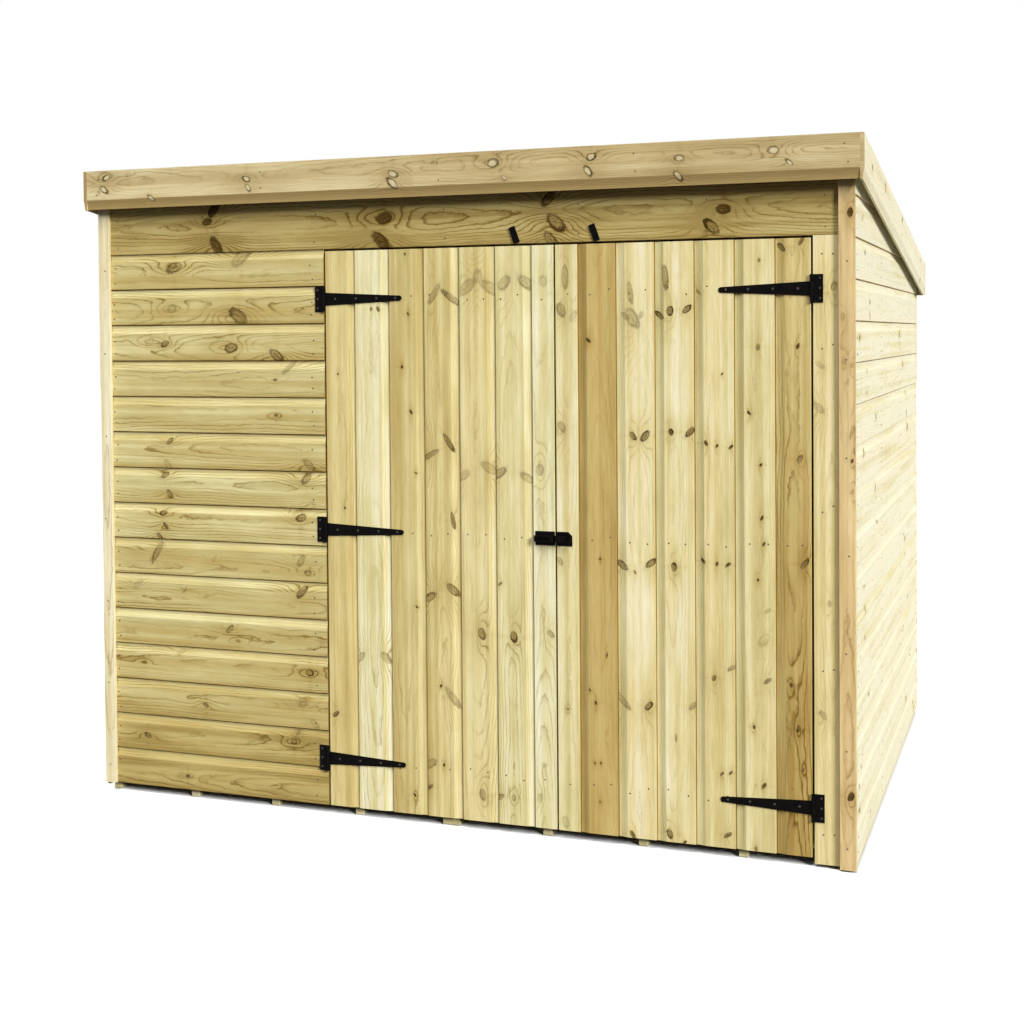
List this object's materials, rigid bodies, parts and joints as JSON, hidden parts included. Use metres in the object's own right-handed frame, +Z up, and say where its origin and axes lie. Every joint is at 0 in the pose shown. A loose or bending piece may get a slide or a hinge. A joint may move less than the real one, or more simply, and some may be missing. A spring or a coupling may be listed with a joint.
{
  "type": "garden shed",
  "caption": "Pent garden shed of pale shiplap boards with double doors on black tee hinges, turn buttons, a sliding door bolt, a boarded floor on bearers and a felt roof.",
  "frame": {"origin": "on the ground at the middle of the overall box", "axes": "+X to the right seen from the front, +Y to the back, +Z up; the doors face -Y"},
  "size_m": [2.5, 1.92, 2.0326],
  "materials": {
    "treated_timber": "pressure-treated softwood, planed, unpainted",
    "trim_timber": "pressure-treated softwood, planed, tan",
    "frame_timber": "planed softwood framing",
    "floor_timber": "planed softwood",
    "roof_felt": "mineral-faced roofing felt",
    "black_steel": "black, semi-matt"
  },
  "bodies": {
    "shed": {"floor_bearers": "floor_timber", "floor_boards": "floor_timber", "front_cladding": "treated_timber", "front_lintel_board": "treated_timber", "front_door_post": "treated_timber", "front_studs": "frame_timber", "front_rails": "frame_timber", "left_cladding": "treated_timber", "left_studs": "frame_timber", "left_rails": "frame_timber", "right_cladding": "treated_timber", "right_studs": "frame_timber", "right_rails": "frame_timber", "back_cladding": "treated_timber", "back_studs": "frame_timber", "back_rails": "frame_timber", "front_left_corner_strip": "trim_timber", "front_right_corner_strip": "trim_timber", "back_left_corner_strip": "trim_timber", "back_right_corner_strip": "trim_timber", "roof_rafters": "frame_timber", "roof_deck": "frame_timber", "roof_felt": "roof_felt", "front_fascia": "trim_timber", "back_fascia": "trim_timber", "left_bargeboard": "trim_timber", "right_bargeboard": "trim_timber", "left_hinge_plates": "black_steel", "right_hinge_plates": "black_steel", "turn_button_screws": "black_steel"},
    "left_door": {"left_door_boards": "treated_timber", "left_door_ledges": "frame_timber", "left_door_braces": "frame_timber", "left_hinge_straps": "black_steel", "bolt_housing": "black_steel"},
    "right_door": {"right_door_boards": "treated_timber", "right_door_ledges": "frame_timber", "right_door_braces": "frame_timber", "right_hinge_straps": "black_steel", "bolt_keep": "black_steel"},
    "left_turn_button": {"left_turn_button": "black_steel"},
    "right_turn_button": {"right_turn_button": "black_steel"},
    "bolt_bar": {"bolt_bar": "black_steel"}
  },
  "joints": [
    {"name": "left_door_hinge", "type": "hinge", "parent": "shed", "child": "left_door", "pos_m": [-0.403, -0.9205, 0.88975], "axis": [0, 0, -1], "range_deg": [0, 165]},
    {"name": "right_door_hinge", "type": "hinge", "parent": "shed", "child": "right_door", "pos_m": [1.1, -0.9205, 0.88975], "axis": [0, 0, 1], "range_deg": [0, 165]},
    {"name": "left_button_turn", "type": "hinge", "parent": "shed", "child": "left_turn_button", "pos_m": [0.2295, -0.915, 1.77567], "axis": [0, 1, 0], "range_deg": [0, 180]},
    {"name": "right_button_turn", "type": "hinge", "parent": "shed", "child": "right_turn_button", "pos_m": [0.4765, -0.915, 1.77567], "axis": [0, 1, 0], "range_deg": [0, 180]},
    {"name": "bolt_slide", "type": "slide", "parent": "left_door", "child": "bolt_bar", "axis": [1, 0, 0], "range_m": [0, 0.03]}
  ]
}
